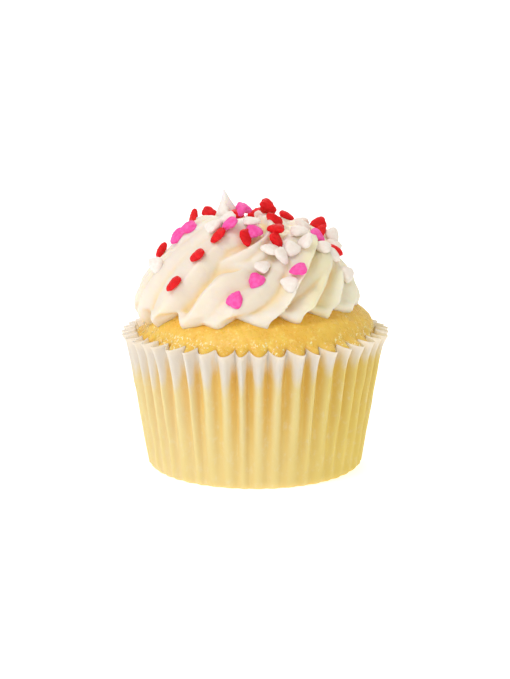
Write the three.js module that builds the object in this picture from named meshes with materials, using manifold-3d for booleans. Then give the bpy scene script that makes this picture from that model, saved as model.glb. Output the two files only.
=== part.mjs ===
// A cupcake: a domed sponge in a pleated paper case, topped with a swirl of frosting that was piped
// through a star tip, and with small pressed-sugar hearts stuck to the swirl.  Frame: +Z up, origin at
// the centre of the flat underside of the case, the cupcake's front towards -Y. Units: millimetres and
// degrees.
import * as THREE from "three";
import Module from "manifold-3d";
import { mergeVertices } from "three/addons/utils/BufferGeometryUtils.js";

const wasm = await Module();
wasm.setup();

// ---------------------------------------------------------------- driving dimensions

// paper case
const CASE_BASE_RADIUS = 25.8;      // where the wall meets the ground
const CASE_RIM_RADIUS = 30.3;       // middle of the pleats, just under the flare
const CASE_FLARE = 0.8;             // how far the last few millimetres turn outwards
const CASE_FLARE_HEIGHT = 6;        // how far below the rim the flare starts
const CASE_HEIGHT = 33.8;
const CASE_WALL = 0.4;
const CASE_FLOOR = 0.5;
const PLEATS = 44;
const PLEAT_TURN = -1.8;            // angle of the first inner fold, from the front
const PLEAT_DEPTH_RIM = 1.65;       // half the height of a pleat at the rim
const PLEAT_DEPTH_BASE = 0.22;      // the same where the wall starts
const PLEAT_UNEVEN = 0.12;          // how far the depth of a pleat may differ from the others'
const PLEAT_OPENS_AT = 0.68;        // share of the height above which the narrow crests open out
const PLEAT_OPENING = 0.3;          // share of the height over which they do
const CREST_NARROW = 1.9;           // power of the sine that shapes a crest low down
const CREST_WIDE = 0.75;            // and at the rim
const CASE_FOOT_INSET = 1.1;        // the wall turns in this far to the ground
const CASE_FOOT_HEIGHT = 0.9;       // over this height
const CASE_CORNER = 1.5;            // radius of the corner inside, between floor and wall

// sponge
const CAKE_BASE_RADIUS = 24.2;
const CAKE_SHOULDER_RADIUS = 27.4;  // where its side leaves the pleats
const CAKE_SHOULDER_HEIGHT = 30.5;
const CAKE_EDGE_RADIUS = 28.1;      // where the dome turns down into the case
const CAKE_EDGE_HEIGHT = 33.4;
const CAKE_DOME_HEIGHT = 44.0;
const CAKE_CLEARANCE = 0.35;        // between the sponge and the pieces round it
const CAKE_SIDES = 40;

// frosting
const SWIRL_OFFSET = -1.9;          // the swirl sits a little to the left
const SWIRL_LEVEL = 44;             // height of the swirl's middle
const PEAK_TIP = [-7.5, 0, 67.3];
const PEAK_FOOT = [-5.6, 0, 57.0];
const PEAK_RADIUS = 4.8;
const ROPE_SAG = 0.28;              // how much the upper half of the rope draws in towards its middle line
const RIDGE_LOW = -30;              // angle round the rope where a ridge starts to lean
const LOW_END = -10;                // angle round the rope up to which a ridge has its low form
const HIGH_START = 70;              // and from which it has its high form
const SWELL_START = -28;            // the rope swells up from this angle, counted from its first place
const SWELL_LENGTH = 20;            // over this angle
const LEAST_RADIUS = 0.8;           // the rope stays this far from the middle of the swirl
const HEAP_SIDES = 24;
const PEAK_SIDES = 12;

// The hidden heap of frosting inside the swirl: radius and height.
const CORE = [
  [0, 38], [19.5, 38], [19.8, 42], [19.2, 47], [17.8, 51.5], [15.4, 54], [11.5, 57], [6.5, 58.6], [0, 59],
];

// The rope's middle line and size along its spiral: angle from the front (anticlockwise from above),
// radius of the middle line, level of its widest place, half width, height above and depth below that
// level, and how far its top leans in towards the middle of the swirl.
const ROPE = [
  [20, 18.8, 41.8, 7.8, 9.0, 4.6, 0],
  [60, 18.8, 41.8, 8.2, 10.0, 4.6, 0],
  [110, 18.6, 41.6, 8.7, 10.2, 4.6, 0],
  [180, 18.0, 41.2, 9.4, 11.5, 5.2, 0],
  [230, 17.6, 40.4, 10.0, 13.0, 5.5, 1.5],
  [270, 17.2, 40.0, 10.1, 14.8, 5.5, 3.5],
  [310, 17.0, 40.0, 10.0, 17.0, 5.0, 4.5],
  [338, 16.8, 40.6, 9.8, 17.0, 4.6, 4.5],
  [352, 16.7, 41.0, 9.9, 11.5, 5.0, 1.5],
  [366, 16.7, 41.4, 10.0, 8.6, 6.0, 0],
  [380, 16.2, 43.0, 10.0, 9.0, 7.5, 0],
  [392, 15.2, 47.0, 9.8, 10.6, 9.0, 0],
  [410, 13.9, 49.8, 9.3, 9.0, 7.2, 0],
  [440, 13.4, 50.2, 8.9, 8.0, 6.4, 0],
  [480, 12.8, 50.6, 9.2, 8.0, 6.0, 0],
  [540, 11.8, 51.0, 9.4, 8.0, 6.0, 0],
  [600, 10.4, 51.6, 9.2, 8.4, 6.0, 0],
  [660, 9.0, 52.2, 8.8, 8.8, 6.5, 0],
  [700, 8.6, 52.4, 9.3, 8.6, 7.2, 0],
  [735, 8.0, 52.6, 9.2, 8.4, 7.0, 0],
  [780, 5.0, 53.8, 7.4, 7.0, 5.0, 0],
];

// ridges like those below, evenly spaced from one foot to another
function evenRidges(first, last, count, depth) {
  const foot = (k) => first + ((last - first) * k) / (count - 1);
  return Array.from({ length: count }, (_, k) => [foot(k), 40, 90, 0.74, 0.74, depth, 0.9 * depth, 0.3]);
}

// Each ridge along the rope: the angle where its foot stands, how far it leans on, the angle round the
// rope where it has its full lean, the rising share of its width low down and high up, the depth of the
// groove before it low down and high up, and how sharp its crest is.
const RIDGES = [
  [5, 40, 90, 0.74, 0.74, 2.0, 2.0, 0.3],
  [28, 38, 90, 0.50, 0.50, 3.6, 3.0, 0.2],
  [47, 36, 80, 0.70, 0.70, 4.0, 3.0, 0.7],
  [69, 40, 90, 0.85, 0.85, 4.2, 3.0, 0.1],
  [90, 38, 90, 0.74, 0.74, 2.4, 2.2, 0.2],
  ...evenRidges(110, 250, 8, 3.2),
  [270, 27, 90, 0.74, 0.74, 2.4, 0.8, 0.2],
  [288, 14, 90, 0.60, 0.60, 2.4, 0.4, 0.0],
  [304, 34, 80, 0.62, 0.62, 2.8, 0.4, 0.5],
  [325, 35, 90, 0.35, 0.30, 4.6, 4.2, 0.3],
  [345, 33, 80, 0.42, 0.30, 1.4, 1.0, 0.4],
  [371, 60, 65, 0.60, 0.62, 3.4, 2.0, 0.7],
  [416, 38, 90, 0.85, 0.85, 5.0, 4.2, 0.1],
  [440, 38, 90, 0.74, 0.74, 1.6, 1.2, 0.2],
  ...evenRidges(463, 591, 6, 2.8),
  [613, 38, 90, 0.74, 0.74, 1.4, 1.0, 0.2],
  [636, 36, 90, 0.74, 0.74, 0.8, 0.6, 0.2],
  [659, 34, 90, 0.74, 0.74, 0.6, 0.5, 0.2],
  [682, 34, 95, 0.70, 0.70, 0.6, 0.4, 0.1],
  [690, 70, 75, 0.22, 0.22, 3.8, 3.4, 0.0],
  [722, 58, 90, 0.35, 0.35, 1.2, 0.8, 0.2],
  [750, 48, 90, 0.74, 0.74, 2.4, 1.4, 0.3],
  ...evenRidges(774, 824, 3, 1.4),
];

// The rope is made in stretches between these ridges, each less than once round the swirl.
const STRETCHES = [0, 9, 17, 25, 36];

// sprinkles
const HEART_WIDTH = 4.5;
const HEART_LENGTH = 4.3;
const HEART_THICKNESS = 1.5;
const HEART_FLAT = 0.86;            // share of a heart that is flat before its edge rounds off
const HEART_SUNK = 0.35;            // how deep a heart is pressed into the frosting
const HEART_MAX_STEP = 2.6;         // how far the middle of a heart may stand off the frosting
const HEART_HOLD = 0.5;             // least volume of a heart inside what it sticks to
const HEART_LOWERING = 0.2;         // step by which a heart that doesn't stick is lowered
const PASS_DEPTH = 16;              // a heart over the swirl's edge is sought this far before and behind its
const PASS_STEP = 2;                // middle, in steps of this much
const HEARTS_BEHIND = 20;
const HEART_SPACING = 4.4;          // least distance between the hearts behind
const LOWEST_BEHIND = 42;           // height above which the hearts behind are found
const BEHIND_FROM = 108;            // angle from the front where they begin, anticlockwise from above
const BEHIND_SPAN = 142;            // and the angle that they spread over
const BEHIND_LEAN = 25;             // none has its far edge lifted by more than this angle
const SEARCH_DISTANCE = 60;         // the search for a place starts this far from the swirl's middle

// The slope of the frosting under a heart is found from three places round its middle.
const FEEL_REACH = 1.4;             // how far out they are
const FEEL_STEP_LIMIT = 4;          // none may be further from the middle than this
const FEEL_SMOOTHING = 0.25;        // how much the slope is drawn towards that of a plain dome

// Where one looks from to see the front hearts as they are laid out below.
const FRONT_EYE = [0, -440, 122.7];

// Front hearts: across and height in the upright plane through the middle, then as seen from the front
// how far the heart is spun (0 with its tip down), how far its face is tilted away, towards which
// direction, and how far it is raised by what lies under it.
const HEARTS = [
  [-14.6, 59.9, 175, 75, 170, 0.3], [-10.5, 60.9, 70, 48, 70, 0.2], [-15.9, 57.4, 295, 55, 115, 0.0],
  [-18.5, 55.3, 315, 55, 135, 0.0], [-22.7, 52.2, 150, 88, 150, 0.4], [-23.7, 48.2, 5, 35, 170, 0.0],
  [-13.9, 50.7, 311, 72, 131, 0.0], [-19.6, 43.8, 318, 72, 138, 0.0], [-8.9, 55.5, 315, 70, 135, 0.0],
  [-6.1, 58.4, 307, 72, 127, 0.3], [-3.8, 60.8, 325, 75, 145, 1.2], [-2.6, 62.1, 70, 68, 70, 1.6],
  [-4.8, 60.7, 270, 75, 90, -0.8], [-7.6, 61.8, 178, 55, 170, 0.0], [-9.8, 58.0, 120, 60, 120, 0.0],
  [-6.8, 59.7, 300, 62, 120, 0.0], [-0.1, 56.5, 80, 45, 80, 0.3], [-2.1, 55.0, 15, 55, 15, 0.3],
  [-0.7, 59.0, 90, 72, 90, 0.0], [0.4, 61.6, 285, 60, 105, 0.8], [3.2, 62.6, 55, 50, 55, 2.0],
  [4.3, 59.3, 215, 30, 45, 1.2], [4.9, 57.2, 275, 74, 95, 0.6], [5.2, 54.3, 30, 62, 30, 0.2],
  [3.4, 52.3, 255, 63, 75, 0.2], [6.5, 50.6, 30, 58, 30, 0.2], [8.8, 52.2, 330, 40, 60, 0.3],
  [12.2, 54.4, 150, 55, 140, 0.3], [10.7, 56.7, 90, 60, 90, 0.0], [11.2, 58.1, 230, 65, 50, 0.3],
  [7.6, 60.1, 55, 85, 55, 0.2], [15.3, 58.7, 280, 35, 80, 1.6], [15.5, 56.6, 150, 55, 120, 0.8],
  [14.9, 55.4, 50, 60, 50, 0.0], [18.6, 55.5, 30, 45, 30, 1.2], [18.8, 53.4, 240, 70, 60, 0.8],
  [15.9, 52.9, 255, 60, 75, 0.2], [18.7, 50.9, 45, 62, 45, 0.0], [19.1, 52.0, 60, 82, 60, 0.4],
  [22.2, 46.0, 355, 50, 20, 0.2], [10.3, 47.3, 285, 52, 105, 0.0], [8.0, 43.9, 250, 20, 110, 0.0],
  [0.2, 44.3, 335, 25, 110, 0.0], [-4.7, 40.1, 150, 25, 130, 0.0], [1.8, 47.8, 10, 55, 85, 0.0],
];

// ---------------------------------------------------------------- small tools

const rad = THREE.MathUtils.degToRad;
const clamp = THREE.MathUtils.clamp;

// smooth curve through evenly numbered values, at place p
function along(values, p) {
  const last = values.length - 1;
  const i = clamp(Math.floor(p), 0, last - 1);
  const s = p - i;
  const slope = (k) => {
    const lo = Math.max(k - 1, 0);
    const hi = Math.min(k + 1, last);
    return (values[hi] - values[lo]) / (hi - lo);
  };
  const a = (2 * s ** 3 - 3 * s ** 2 + 1) * values[i] + (s ** 3 - 2 * s ** 2 + s) * slope(i);
  return a + (3 * s ** 2 - 2 * s ** 3) * values[i + 1] + (s ** 3 - s ** 2) * slope(i + 1);
}

const smooth = (s) => s * s * (3 - 2 * s);

const FEET = RIDGES.map((row) => row[0]);
const LEANS = RIDGES.map((row) => row[1]);
const FULL_LEANS = RIDGES.map((row) => row[2]);
const ROPE_ANGLES = ROPE.map((row) => row[0]);

// the rope's middle line and size at an angle along the spiral
function ropeAt(angle) {
  const last = ROPE.length - 1;
  const t = clamp(angle, ROPE_ANGLES[0], ROPE_ANGLES[last]);
  let i = 0;
  while (i < last - 1 && t > ROPE_ANGLES[i + 1]) {
    i += 1;
  }
  const width = ROPE_ANGLES[i + 1] - ROPE_ANGLES[i];
  const s = (t - ROPE_ANGLES[i]) / width;
  const values = [];
  for (let c = 1; c < ROPE[0].length; c += 1) {
    const slope = (k) => {
      const lo = Math.max(k - 1, 0);
      const hi = Math.min(k + 1, last);
      return (ROPE[hi][c] - ROPE[lo][c]) / (ROPE_ANGLES[hi] - ROPE_ANGLES[lo]);
    };
    const start = (2 * s ** 3 - 3 * s ** 2 + 1) * ROPE[i][c] + (s ** 3 - 2 * s ** 2 + s) * slope(i) * width;
    const end = (3 * s ** 2 - 2 * s ** 3) * ROPE[i + 1][c] + (s ** 3 - s ** 2) * slope(i + 1) * width;
    values.push(start + end);
  }
  return values;
}

// how far round the spiral a ridge has leaned at an angle psi round the rope (-90 under it, 90 on top)
function leanAt(p, psi) {
  const s = (psi - RIDGE_LOW) / (along(FULL_LEANS, p) - RIDGE_LOW);
  return along(LEANS, p) * smooth(clamp(s, 0, 1));
}

// depth below the ridges' crests, which stand at whole numbers of p
function grooveAt(p, psi) {
  const before = clamp(Math.floor(p), 0, RIDGES.length - 2);
  const place = p - before;
  const [, , , risingLow, risingHigh, low, high, sharpAfter] = RIDGES[before + 1];
  const up = clamp((psi - LOW_END) / (HIGH_START - LOW_END), 0, 1);
  const rising = risingLow + (risingHigh - risingLow) * up;
  const falls = place < 1 - rising;
  const away = falls ? place / (1 - rising) : (1 - place) / rising;
  const sharp = falls ? RIDGES[before][7] : sharpAfter;
  const turn = (away * Math.PI) / 2;
  const height = (1 - sharp) * Math.cos(turn) + sharp * (1 - Math.sin(turn));
  return (low + (high - low) * up) * (1 - height);
}

// one point of the frosting rope: p counts the ridges along it, psi is the angle round it
function ropePoint(p, psi) {
  const t = along(FEET, p) + leanAt(p, psi);
  const [middle, level, halfWidth, above, below, leanIn] = ropeAt(t);
  const swell = clamp((t - ROPE_ANGLES[0] - SWELL_START) / SWELL_LENGTH, 0, 1);
  const taper = Math.sqrt(Math.max(1 - (1 - swell) ** 2, 0.02));
  const a = halfWidth * taper;
  const up = Math.sin(rad(psi)) >= 0;
  const b = up ? above * taper : below;
  const c = Math.cos(rad(psi));
  const s = Math.sin(rad(psi));
  const square = up ? 1 : (Math.abs(c) ** 3 + Math.abs(s) ** 3) ** (1 / 3);
  const out = (a * c * (1 - (up ? ROPE_SAG * s : 0))) / square;
  const rise = (b * s) / square;
  const length = Math.hypot(c / a, s / b);
  const groove = grooveAt(p, psi) * taper;
  const inwards = up ? leanIn * s * s : 0;
  const r = Math.max(middle + out - inwards - (groove * c) / a / length, LEAST_RADIUS);
  const z = level + rise - (groove * s) / b / length;
  return [SWIRL_OFFSET + r * Math.sin(rad(t)), -r * Math.cos(rad(t)), z];
}

// closed mesh from rings of equal length, with a point in the middle of each end; from the ring called
// turnedBack on, the quads are split along their other diagonal
function tube(rings, startPoint, endPoint, turnedBack = rings.length) {
  const n = rings[0].length;
  const positions = rings.flat(2).concat(startPoint, endPoint);
  const first = rings.length * n;
  const index = [];
  for (let i = 0; i < rings.length - 1; i += 1) {
    for (let j = 0; j < n; j += 1) {
      const k = (j + 1) % n;
      const [a, b, c, d] = [i * n + j, i * n + k, (i + 1) * n + k, (i + 1) * n + j];
      if (i < turnedBack) {
        index.push(a, b, c, a, c, d);
      } else {
        index.push(a, b, d, b, c, d);
      }
    }
  }
  for (let j = 0; j < n; j += 1) {
    const k = (j + 1) % n;
    index.push(first, k, j);
    index.push(first + 1, (rings.length - 1) * n + j, (rings.length - 1) * n + k);
  }
  const geometry = new THREE.BufferGeometry();
  geometry.setAttribute("position", new THREE.Float32BufferAttribute(positions, 3));
  geometry.setIndex(index);
  return geometry;
}

const meanOf = (values) => values.reduce((sum, value) => sum + value, 0) / values.length;
const middleOf = (ring) => [0, 1, 2].map((c) => meanOf(ring.map((point) => point[c])));

function solid(geometry) {
  const bare = geometry.clone();
  bare.deleteAttribute("normal");
  bare.deleteAttribute("uv");
  const merged = mergeVertices(bare, 1e-4);
  const vertProperties = new Float32Array(merged.attributes.position.array);
  const triVerts = new Uint32Array(merged.index.array);
  return new wasm.Manifold(new wasm.Mesh({ numProp: 3, vertProperties, triVerts }));
}

function geometryOf(manifold) {
  const mesh = manifold.getMesh();
  const geometry = new THREE.BufferGeometry();
  const positions = new Float32Array(mesh.numVert * 3);
  for (let i = 0; i < mesh.numVert; i += 1) {
    for (let c = 0; c < 3; c += 1) {
      positions[i * 3 + c] = mesh.vertProperties[i * mesh.numProp + c];
    }
  }
  geometry.setAttribute("position", new THREE.BufferAttribute(positions, 3));
  geometry.setIndex(Array.from(mesh.triVerts));
  return geometry;
}

// solid of revolution round +Z from [radius, height] pairs that start and end on the axis, bottom first
function turned(profile, segments) {
  const geometry = new THREE.LatheGeometry(profile.map(([r, z]) => new THREE.Vector2(r, z)), segments);
  geometry.rotateX(Math.PI / 2);
  return geometry;
}

// ---------------------------------------------------------------- paper case

// radius of the pleated wall's outer face at a height and an angle from the front
function caseRadius(z, angle) {
  const up = clamp(z / CASE_HEIGHT, 0, 1);
  const flare = CASE_FLARE * clamp((z - CASE_HEIGHT + CASE_FLARE_HEIGHT) / CASE_FLARE_HEIGHT, 0, 1) ** 2;
  const middle = CASE_BASE_RADIUS + (CASE_RIM_RADIUS - CASE_BASE_RADIUS) * up + flare;
  const depth = PLEAT_DEPTH_BASE + (PLEAT_DEPTH_RIM - PLEAT_DEPTH_BASE) * up ** 1.15;
  const turn = ((angle - PLEAT_TURN) * PLEATS) / 360;
  const uneven = 1 + PLEAT_UNEVEN * Math.sin(2.7 * Math.floor(turn) + 1.3) * up;
  // narrow crests low down, wide ones at the rim; the fold inwards stands at a whole number of turn
  const opening = smooth(clamp((up - PLEAT_OPENS_AT) / PLEAT_OPENING, 0, 1));
  const power = CREST_NARROW + (CREST_WIDE - CREST_NARROW) * opening;
  const crest = Math.sin(Math.PI * (turn - Math.floor(turn))) ** power;
  return middle + depth * uneven * (2 * crest - 1) - depth * 0.1;
}

function paperCase() {
  const perPleat = [0, 0.24, 0.5, 0.76];
  const angles = [];
  for (let k = 0; k < PLEATS; k += 1) {
    for (const part of perPleat) {
      angles.push(PLEAT_TURN + ((k + part) * 360) / PLEATS);
    }
  }
  const ring = (z, inwards) =>
    angles.map((angle) => {
      const r = caseRadius(z, angle) - inwards;
      return [r * Math.sin(rad(angle)), -r * Math.cos(rad(angle)), z];
    });
  // The wall bends at the same height outside and inside, and its quads are split along the same
  // diagonal, so that it is equally thick all the way.
  const bend = CASE_HEIGHT - CASE_FLARE_HEIGHT;
  const outside = [
    ring(0, CASE_FOOT_INSET), ring(CASE_FOOT_HEIGHT, 0), ring(bend, 0), ring(CASE_HEIGHT, 0),
  ];
  const inside = [
    ring(CASE_HEIGHT, CASE_WALL), ring(bend, CASE_WALL), ring(CASE_CORNER, CASE_WALL),
    ring(CASE_FLOOR, CASE_CORNER),
  ];
  return tube([...outside, ...inside], [0, 0, 0], [0, 0, CASE_FLOOR], outside.length);
}

// ---------------------------------------------------------------- sponge

const domeHeight = (r) => {
  const rise = CAKE_DOME_HEIGHT - CAKE_EDGE_HEIGHT;
  return CAKE_EDGE_HEIGHT + rise * Math.sqrt(Math.max(0, 1 - (r / (CAKE_EDGE_RADIUS + 0.6)) ** 2));
};

function spongeProfile(grow) {
  const profile = [[0, CASE_FLOOR + CAKE_CLEARANCE - grow]];
  profile.push([CAKE_BASE_RADIUS - 2.2 + grow, CASE_FLOOR + CAKE_CLEARANCE - grow]);
  profile.push([CAKE_BASE_RADIUS + grow, CASE_FLOOR + CAKE_CLEARANCE + 1.8]);
  profile.push([CAKE_SHOULDER_RADIUS + grow, CAKE_SHOULDER_HEIGHT]);
  for (const r of [CAKE_EDGE_RADIUS, 27.6, 26, 23, 18, 10]) {
    profile.push([r + (grow * r) / CAKE_EDGE_RADIUS, domeHeight(r) + grow]);
  }
  profile.push([0, CAKE_DOME_HEIGHT + grow]);
  return profile;
}

// ---------------------------------------------------------------- frosting

// angles round the rope: close together where it shows, wide apart on its hidden inner side
const AROUND = [-100, -72, -50, -32, -16, 0, 13, 26, 39, 53, 68, 86, 110, 150, 205];

// places of the rings along the rope from one crest to the next: the crest, the groove after it, and one
// on the broader of the two faces
function ringsAfter(ridge) {
  const rising = (RIDGES[ridge + 1][3] + RIDGES[ridge + 1][4]) / 2;
  const groove = ridge + 1 - rising;
  return rising < 0.5 ? [ridge, ridge + (1 - rising) / 2, groove] : [ridge, groove, ridge + 1 - rising / 2];
}

// the rope from one ridge to another
function ropeStretch(from, to) {
  const places = [to];
  for (let ridge = to - 1; ridge >= from; ridge -= 1) {
    places.unshift(...ringsAfter(ridge));
  }
  const rings = places.map((p) => AROUND.map((psi) => ropePoint(p, psi)).reverse());
  return tube(rings, middleOf(rings[0]), middleOf(rings[rings.length - 1]));
}

function peak() {
  const foot = new THREE.Vector3(...PEAK_FOOT);
  const tip = new THREE.Vector3(...PEAK_TIP);
  const rings = [];
  for (const s of [0, 0.2, 0.4, 0.6, 0.8, 0.94]) {
    const centre = foot.clone().lerp(tip, s);
    const r = PEAK_RADIUS * (1 - s) ** 1.4 + 0.4 * (1 - s) + 0.2;
    const ring = [];
    for (let j = 0; j < PEAK_SIDES; j += 1) {
      const angle = (2 * Math.PI * j) / PEAK_SIDES;
      ring.push([centre.x + r * Math.cos(angle), centre.y + r * Math.sin(angle), centre.z]);
    }
    rings.push(ring);
  }
  return tube(rings, PEAK_FOOT, PEAK_TIP);
}

// the one body left when every sealed hollow is filled and every loose scrap is dropped
function filled(manifold) {
  const bodies = manifold.decompose();
  return bodies.reduce((best, body) => (body.volume() > best.volume() ? body : best));
}

const heap = turned(CORE, HEAP_SIDES);
heap.translate(SWIRL_OFFSET, 0, 0);
let frosting = solid(heap).add(solid(peak()));
for (let k = 0; k < STRETCHES.length - 1; k += 1) {
  frosting = frosting.add(solid(ropeStretch(STRETCHES[k], STRETCHES[k + 1])));
}
frosting = filled(frosting.subtract(solid(turned(spongeProfile(CAKE_CLEARANCE), CAKE_SIDES))));

// ---------------------------------------------------------------- sprinkles

const bothSides = new THREE.MeshStandardMaterial({ side: THREE.DoubleSide });
const swirl = new THREE.Mesh(geometryOf(frosting), bothSides);
const SWIRL_MIDDLE = new THREE.Vector3(SWIRL_OFFSET, 0, SWIRL_LEVEL);
const caster = new THREE.Raycaster();

function hitAlong(from, direction) {
  caster.set(from, direction);
  const hits = caster.intersectObject(swirl, false);
  return hits.length > 0 ? hits[0].point : null;
}

// point and outward normal of the frosting where a line from the outside meets it, levelled over a
// heart's width
function seat(from, towards) {
  const direction = towards.clone().sub(from).normalize();
  const side = new THREE.Vector3(0, 0, 1).cross(direction).normalize();
  const over = direction.clone().cross(side);
  const middle = hitAlong(from, direction);
  const around = [90, 210, 330].map((angle) => {
    const start = from.clone();
    start.addScaledVector(side, FEEL_REACH * Math.cos(rad(angle)));
    start.addScaledVector(over, FEEL_REACH * Math.sin(rad(angle)));
    return hitAlong(start, direction);
  });
  if (middle === null) {
    return null;
  }
  const fallback = middle.clone().sub(SWIRL_MIDDLE).normalize();
  let normal = fallback;
  if (around.every((point) => point !== null && point.distanceTo(middle) < FEEL_STEP_LIMIT)) {
    const one = around[1].clone().sub(around[0]);
    normal = one.cross(around[2].clone().sub(around[0])).normalize();
    if (normal.dot(direction) > 0) {
      normal.negate();
    }
    normal.lerp(fallback, FEEL_SMOOTHING).normalize();
  }
  return { point: middle, normal };
}

// half of a rounded heart's outline, its lobes towards +Y, from the notch to the tip
const HEART_SIDE = [[0, 0.6], [0.5, 0.9], [0.96, 0.5], [0.8, -0.25], [0.22, -0.98]].map(([x, y]) => [
  (x * HEART_WIDTH) / 2,
  (y * HEART_LENGTH) / 2,
]);

function heartPrism() {
  const other = HEART_SIDE.slice(1).reverse();
  const points = [...HEART_SIDE, ...other.map(([x, y]) => [-x, y])];
  const shape = new THREE.Shape(points.map(([x, y]) => new THREE.Vector2(x, y)));
  const prism = new THREE.ExtrudeGeometry(shape, { depth: HEART_THICKNESS, bevelEnabled: false });
  prism.translate(0, 0, -HEART_THICKNESS / 2);
  return prism;
}

const HEART = heartPrism();

function heartAt(position, rotation) {
  const matrix = new THREE.Matrix4().compose(position, rotation, new THREE.Vector3(1, 1, 1));
  return solid(HEART.clone().applyMatrix4(matrix));
}

// rotation of a heart whose face looks along a direction, tip down
function facing(direction) {
  const across = new THREE.Vector3(0, 0, 1).cross(direction).normalize();
  const upright = direction.clone().cross(across);
  const basis = new THREE.Matrix4().makeBasis(across, upright, direction);
  return new THREE.Quaternion().setFromRotationMatrix(basis);
}

// how far a heart reaches from its middle along a direction
function reach(rotation, direction) {
  const local = direction.clone().applyQuaternion(rotation.clone().invert());
  const flat = HEART_SIDE.map(([x, y]) => HEART_FLAT * (Math.abs(x * local.x) + y * local.y));
  return Math.max(...flat) + (HEART_THICKNESS / 2) * Math.abs(local.z);
}

// where a line of sight that goes by over the swirl's edge comes closest to the frosting, and the way
// and distance from the frosting to that place
function closestPass(eye, mark) {
  const sight = mark.clone().sub(eye).normalize();
  let best = null;
  for (let depth = -PASS_DEPTH; depth <= PASS_DEPTH; depth += PASS_STEP) {
    const place = mark.clone().addScaledVector(sight, depth);
    const { point } = seat(place, SWIRL_MIDDLE);
    const step = place.distanceTo(point);
    if (best === null || step < best.step) {
      best = { point, way: place.sub(point).normalize(), step };
    }
  }
  return best;
}

// a heart as it is seen from the front: where it sits, its rotation, and the way and distance it stands
// off
function seenHeart(x, z, spin, tilt, tiltDirection, raise) {
  const eye = new THREE.Vector3(...FRONT_EYE);
  const mark = new THREE.Vector3(x, 0, z);
  const found = seat(eye, mark);
  const passed = found === null ? closestPass(eye, mark) : null;
  const point = (found ?? passed).point;
  const back = eye.sub(point).normalize();
  const base = facing(back);
  const leanTo = new THREE.Vector3(Math.cos(rad(tiltDirection)), Math.sin(rad(tiltDirection)), 0);
  const axis = back.clone().cross(leanTo.applyQuaternion(base));
  const tilted = new THREE.Quaternion().setFromAxisAngle(axis, rad(tilt));
  const spun = new THREE.Quaternion().setFromAxisAngle(back, rad(spin));
  const rotation = tilted.multiply(spun).multiply(base);
  if (passed !== null) {
    return { ...passed, rotation };
  }
  const lift = reach(rotation, found.normal.clone().negate()) - HEART_SUNK;
  const step = lift / Math.max(back.dot(found.normal), 0.4) + raise;
  return { point, rotation, way: back, step: Math.min(step, HEART_MAX_STEP) };
}

// a heart that lies on the frosting where it was found, its far edge lifted a little
function lyingHeart({ point, normal }, spin, lean) {
  const rotation = facing(normal);
  rotation.multiply(new THREE.Quaternion().setFromAxisAngle(new THREE.Vector3(0, 0, 1), rad(spin)));
  rotation.multiply(new THREE.Quaternion().setFromAxisAngle(new THREE.Vector3(1, 0, 0), rad(lean)));
  return { point, rotation, way: normal, step: reach(rotation, normal.clone().negate()) - HEART_SUNK };
}

// repeatable random numbers, 0 to 1
let seed = 20260;
function random() {
  seed = (seed * 1664525 + 1013904223) % 4294967296;
  return seed / 4294967296;
}

// a heart joins the frosting, lowered where it would only just touch it
function stick({ point, rotation, way, step }) {
  let stand = step;
  let body = heartAt(point.clone().addScaledVector(way, stand), rotation);
  while (body.intersect(frosting).volume() < HEART_HOLD) {
    stand -= HEART_LOWERING;
    body = heartAt(point.clone().addScaledVector(way, stand), rotation);
  }
  frosting = frosting.add(body);
}

for (const place of HEARTS) {
  stick(seenHeart(...place));
}

const taken = [];
while (taken.length < HEARTS_BEHIND) {
  const angle = rad(BEHIND_FROM + BEHIND_SPAN * random());
  const rise = rad(12 + 62 * random());
  const spin = 360 * random();
  const lean = BEHIND_LEAN * random() ** 2;
  const outward = new THREE.Vector3(
    Math.sin(angle) * Math.cos(rise),
    -Math.cos(angle) * Math.cos(rise),
    Math.sin(rise),
  );
  const found = seat(SWIRL_MIDDLE.clone().addScaledVector(outward, SEARCH_DISTANCE), SWIRL_MIDDLE);
  const free = taken.every((point) => point.distanceTo(found.point) > HEART_SPACING);
  if (free && found.point.z > LOWEST_BEHIND) {
    taken.push(found.point);
    stick(lyingHeart(found, spin, lean));
  }
}

// ---------------------------------------------------------------- assembly

const cupcake = new THREE.Group();

function place(name, geometry, colour, roughness) {
  geometry.computeVertexNormals();
  const material = new THREE.MeshStandardMaterial({ color: colour, roughness, metalness: 0 });
  const mesh = new THREE.Mesh(geometry, material);
  mesh.name = name;
  cupcake.add(mesh);
}

place("paper_case", paperCase(), 0xefe3c4, 0.75);
place("cake", turned(spongeProfile(0), CAKE_SIDES), 0xe8b64c, 0.5);
place("frosting", geometryOf(filled(frosting)), 0xf8efdc, 0.4);

export default cupcake;
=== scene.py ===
"""A frosted cupcake in a pleated paper case, dressed for a studio picture.

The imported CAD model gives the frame. The sponge, the paper case and the swirl of frosting are rebuilt here
with fine surfaces, and the heart sprinkles are placed on the swirl by the same rule as in the solids.
Lengths are in millimetres until a mesh is made, and angles in degrees.
"""

import math

import bpy
import numpy as np
from mathutils import Matrix, Quaternion, Vector
from mathutils.bvhtree import BVHTree


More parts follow.
